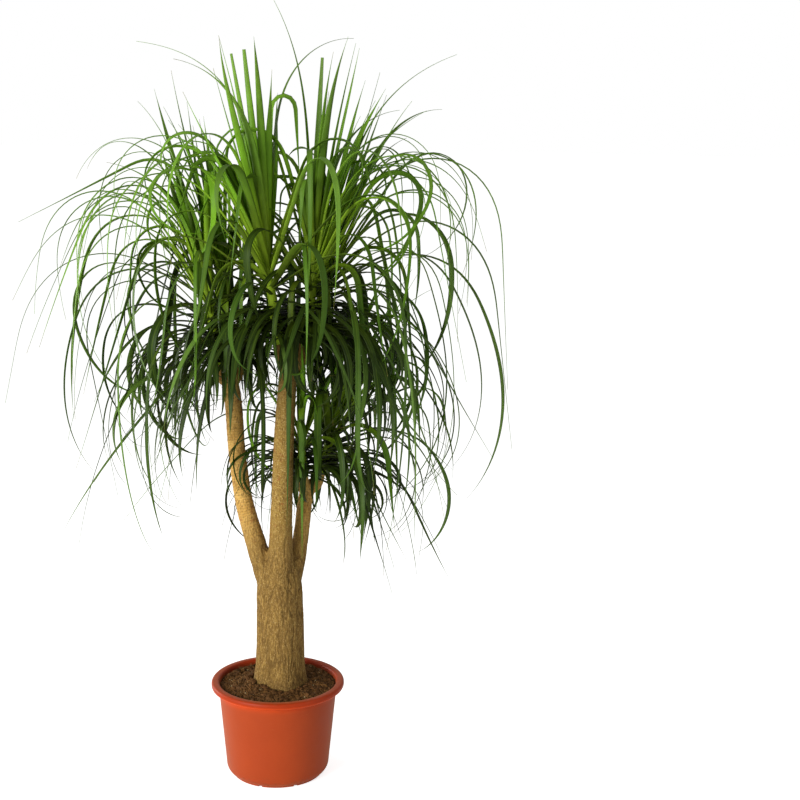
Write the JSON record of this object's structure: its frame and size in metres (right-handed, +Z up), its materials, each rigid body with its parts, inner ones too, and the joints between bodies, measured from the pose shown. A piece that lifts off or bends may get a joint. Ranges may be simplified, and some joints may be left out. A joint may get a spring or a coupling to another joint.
{
  "type": "potted ponytail palm",
  "caption": "Ponytail palm with a stout branching trunk and heads of long arching strap leaves, standing in a round tapering plastic pot of soil.",
  "frame": {"origin": "middle of the pot's flat underside", "axes": "+Z up, -Y towards the viewer of the picture, +X to that viewer's right"},
  "size_m": [1.047, 0.862, 1.6099],
  "materials": {
    "pot_plastic": "satin terracotta-coloured moulded plastic",
    "soil": "matt, coarse, fibrous potting soil",
    "bark": "matt corky bark, fissured below and finely ringed on the limbs",
    "leaf": "smooth living leaf with a soft sheen and fine lengthwise veins"
  },
  "bodies": {
    "root": {"pot": "pot_plastic", "soil": "soil", "trunk": "bark", "leaf_head_left_outer": "leaf", "leaf_head_left_inner": "leaf", "leaf_head_front_left": "leaf", "leaf_head_front_right": "leaf", "leaf_head_back_right": "leaf", "leaf_head_low_inner": "leaf", "leaf_head_low_outer": "leaf"}
  },
  "joints": []
}
